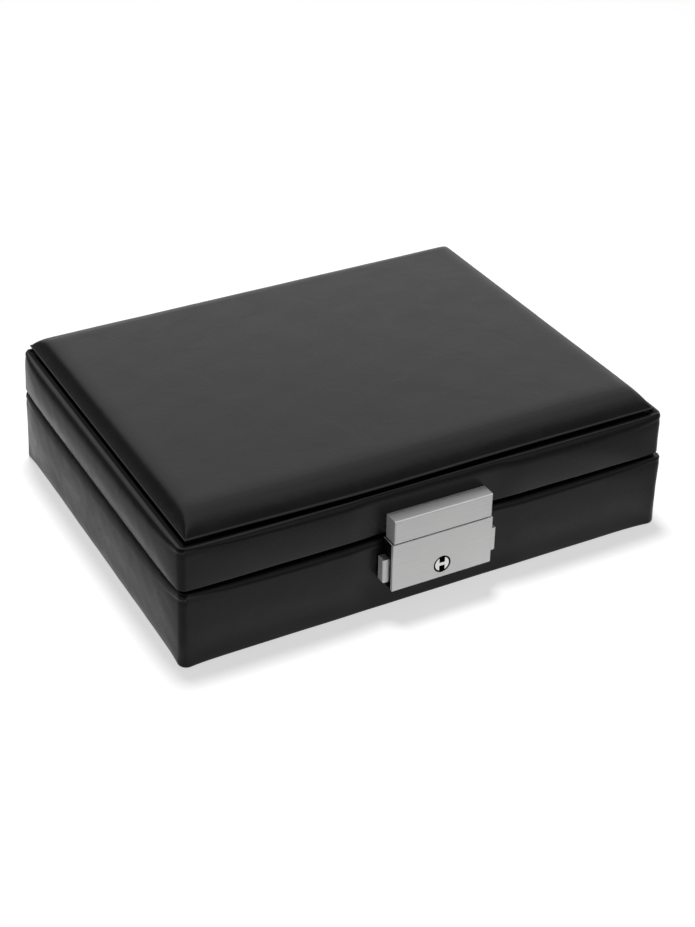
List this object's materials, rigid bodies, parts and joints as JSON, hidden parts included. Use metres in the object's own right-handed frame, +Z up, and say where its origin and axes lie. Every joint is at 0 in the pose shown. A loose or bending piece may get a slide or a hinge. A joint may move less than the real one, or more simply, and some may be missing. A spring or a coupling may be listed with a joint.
{
  "type": "cufflink box with drawer",
  "caption": "Rectangular leather-covered cufflink box with a padded hinged lid, a push-button case lock, divided cells and a sliding inner drawer.",
  "frame": {"origin": "centre of the flat underside of the box, level with the felt that it rests on", "axes": "+Z up, +X to the right seen from the front, -Y out of the lock side, hinges at +Y"},
  "size_m": [0.2, 0.1665, 0.0582],
  "materials": {
    "black_leather": "smooth glossy black leather, faint grain",
    "black_felt": "thin pressed felt",
    "grey_velour": "anthracite short-pile velour",
    "velour_wrapped_board": "thin fibreboard wrapped in anthracite velour",
    "padding": "soft foam",
    "satin_nickel": "horizontally brushed satin nickel plate",
    "bright_nickel": "bright nickel plate",
    "plated_steel": "nickel-plated steel",
    "spring_steel": "spring wire",
    "fibreboard": "raw medium fibreboard"
  },
  "bodies": {
    "base": {"base_back_wall": "fibreboard", "base_cover": "black_leather", "base_felt": "black_felt", "base_floor": "fibreboard", "base_floor_pad": "grey_velour", "base_front_wall": "fibreboard", "base_left_wall": "fibreboard", "base_right_wall": "fibreboard", "base_wall_lining": "grey_velour", "cross_divider_1": "velour_wrapped_board", "cross_divider_2": "velour_wrapped_board", "cross_divider_3": "velour_wrapped_board", "cross_divider_4": "velour_wrapped_board", "hinge_base_screws": "plated_steel", "hinge_pins": "plated_steel", "left_button_spring": "spring_steel", "left_hinge_base_leaf": "plated_steel", "left_runner": "velour_wrapped_board", "lock_backplate": "satin_nickel", "lock_case": "satin_nickel", "lock_face": "satin_nickel", "lock_screws": "plated_steel", "long_divider_1": "velour_wrapped_board", "long_divider_2": "velour_wrapped_board", "long_divider_3": "velour_wrapped_board", "right_button_spring": "spring_steel", "right_hinge_base_leaf": "plated_steel", "right_runner": "velour_wrapped_board"},
    "lid": {"hasp": "satin_nickel", "hasp_screws": "plated_steel", "hinge_lid_screws": "plated_steel", "left_hinge_lid_leaf": "plated_steel", "lid_back_wall": "fibreboard", "lid_cover": "black_leather", "lid_front_wall": "fibreboard", "lid_left_wall": "fibreboard", "lid_lining_pad": "grey_velour", "lid_right_wall": "fibreboard", "lid_top_board": "fibreboard", "lid_wall_lining": "grey_velour", "overlay_board": "fibreboard", "pad_cover": "black_leather", "pad_foam": "padding", "right_hinge_lid_leaf": "plated_steel", "strike_plate": "satin_nickel"},
    "drawer": {"drawer_back": "velour_wrapped_board", "drawer_divider_1": "velour_wrapped_board", "drawer_divider_2": "velour_wrapped_board", "drawer_divider_3": "velour_wrapped_board", "drawer_divider_4": "velour_wrapped_board", "drawer_floor": "velour_wrapped_board", "drawer_front": "velour_wrapped_board", "drawer_left_side": "velour_wrapped_board", "drawer_pad": "grey_velour", "drawer_pull": "bright_nickel", "drawer_right_side": "velour_wrapped_board"},
    "left_latch": {"left_button": "satin_nickel"},
    "right_latch": {"right_button": "satin_nickel"},
    "key_barrel": {"key_cam": "bright_nickel", "key_cylinder": "bright_nickel"}
  },
  "joints": [
    {"name": "lid_hinge", "type": "hinge", "parent": "base", "child": "lid", "pos_m": [0, 0.0791, 0.0318], "axis": [-1, 0, 0], "range_deg": [0, 100]},
    {"name": "drawer_slide", "type": "slide", "parent": "base", "child": "drawer", "axis": [0, -1, 0], "range_m": [0, 0.0634]},
    {"name": "left_button_press", "type": "slide", "parent": "base", "child": "left_latch", "axis": [1, 0, 0], "range_m": [-0.0015, 0.0015], "stiffness_N_per_m": 400, "springref_m": -0.003, "deforming": ["left_button_spring"]},
    {"name": "right_button_press", "type": "slide", "parent": "base", "child": "right_latch", "axis": [-1, 0, 0], "range_m": [-0.0015, 0.0015], "stiffness_N_per_m": 400, "springref_m": -0.003, "deforming": ["right_button_spring"]},
    {"name": "key_turn", "type": "hinge", "parent": "base", "child": "key_barrel", "pos_m": [0, -0.0785, 0.0167], "axis": [0, -1, 0], "range_deg": [-90, 0]}
  ]
}
